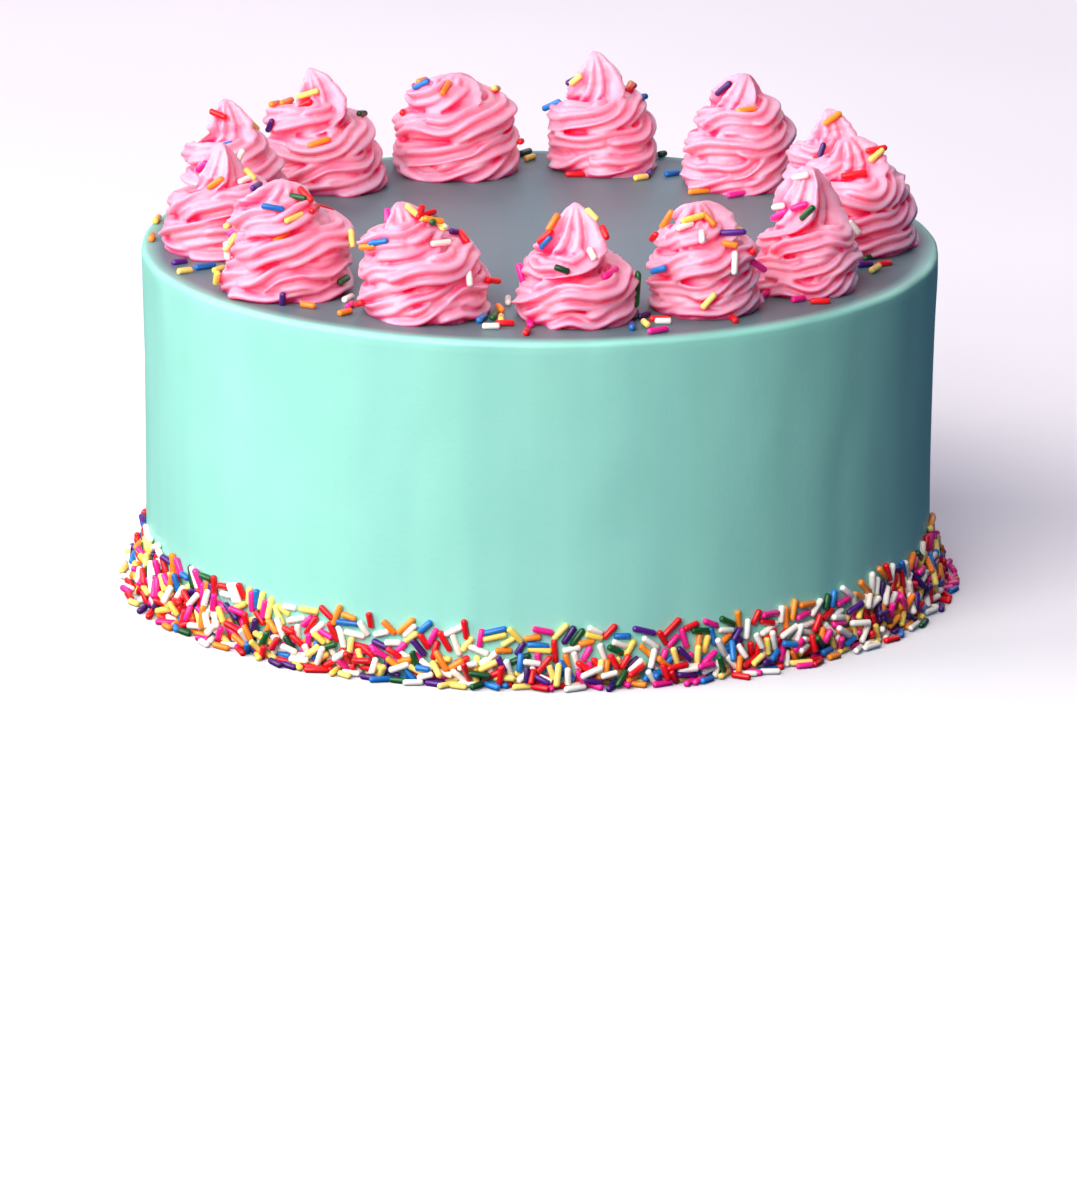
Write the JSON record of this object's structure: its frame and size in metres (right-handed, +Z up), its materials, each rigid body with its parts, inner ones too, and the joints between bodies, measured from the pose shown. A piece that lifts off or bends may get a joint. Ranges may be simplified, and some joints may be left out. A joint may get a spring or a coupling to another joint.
{
  "type": "birthday cake",
  "caption": "Round cake in a smooth icing coat, with a ring of piped icing swirls on top and a bank of sprinkles round its foot.",
  "frame": {"origin": "centre of the cake's flat underside, the middle of the bounding box's bottom", "axes": "+Z up out of the top of the cake, -Y towards the picture's viewer, +X to the viewer's right"},
  "size_m": [0.2224, 0.2224, 0.123],
  "materials": {
    "icing_coat": "smooth satin mint icing",
    "piped_icing": "soft satin pink icing"
  },
  "bodies": {
    "root": {"cake": "icing_coat", "swirl_01": "piped_icing", "swirl_02": "piped_icing", "swirl_03": "piped_icing", "swirl_04": "piped_icing", "swirl_05": "piped_icing", "swirl_06": "piped_icing", "swirl_07": "piped_icing", "swirl_08": "piped_icing", "swirl_09": "piped_icing", "swirl_10": "piped_icing", "swirl_11": "piped_icing", "swirl_12": "piped_icing", "swirl_13": "piped_icing"}
  },
  "joints": []
}
